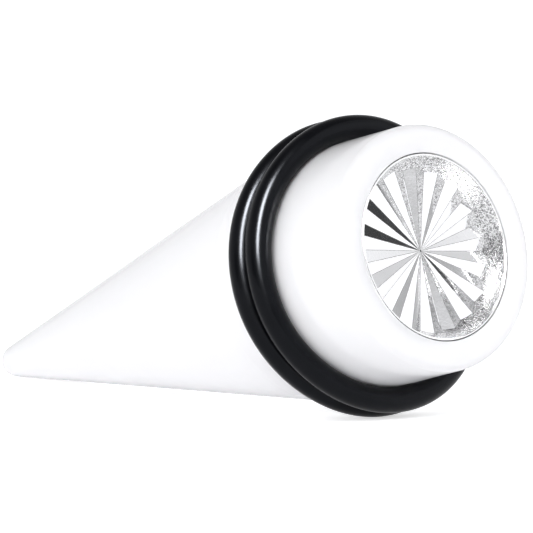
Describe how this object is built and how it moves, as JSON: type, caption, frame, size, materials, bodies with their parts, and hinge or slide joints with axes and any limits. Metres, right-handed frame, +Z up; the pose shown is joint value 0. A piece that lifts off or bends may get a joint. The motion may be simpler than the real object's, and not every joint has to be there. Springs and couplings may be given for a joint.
{
  "type": "ear stretching taper",
  "caption": "White acrylic ear stretching taper: long cone and short barrel with black rubber O-rings and a star-cut silver cup set in the end face; it widens an ear piercing.",
  "frame": {"origin": "under the middle of the bounding box, on the surface that the taper lies on", "axes": "+Z up; the taper lies on its rear O-ring and its tip, with the tip towards -X, the star-cut end towards +X and its own axis in the XZ plane, rising towards +X"},
  "size_m": [0.0826, 0.0304, 0.0303],
  "materials": {
    "white_acrylic": "polished opaque white acrylic",
    "bright_cut_silver": "mirror-bright flat facets, finely frosted sloping wall",
    "black_rubber": "smooth moulded black rubber with a soft sheen"
  },
  "bodies": {
    "root": {"taper_body": "white_acrylic", "star_insert": "bright_cut_silver", "o_ring_rear": "black_rubber", "o_ring_front": "black_rubber"}
  },
  "joints": []
}
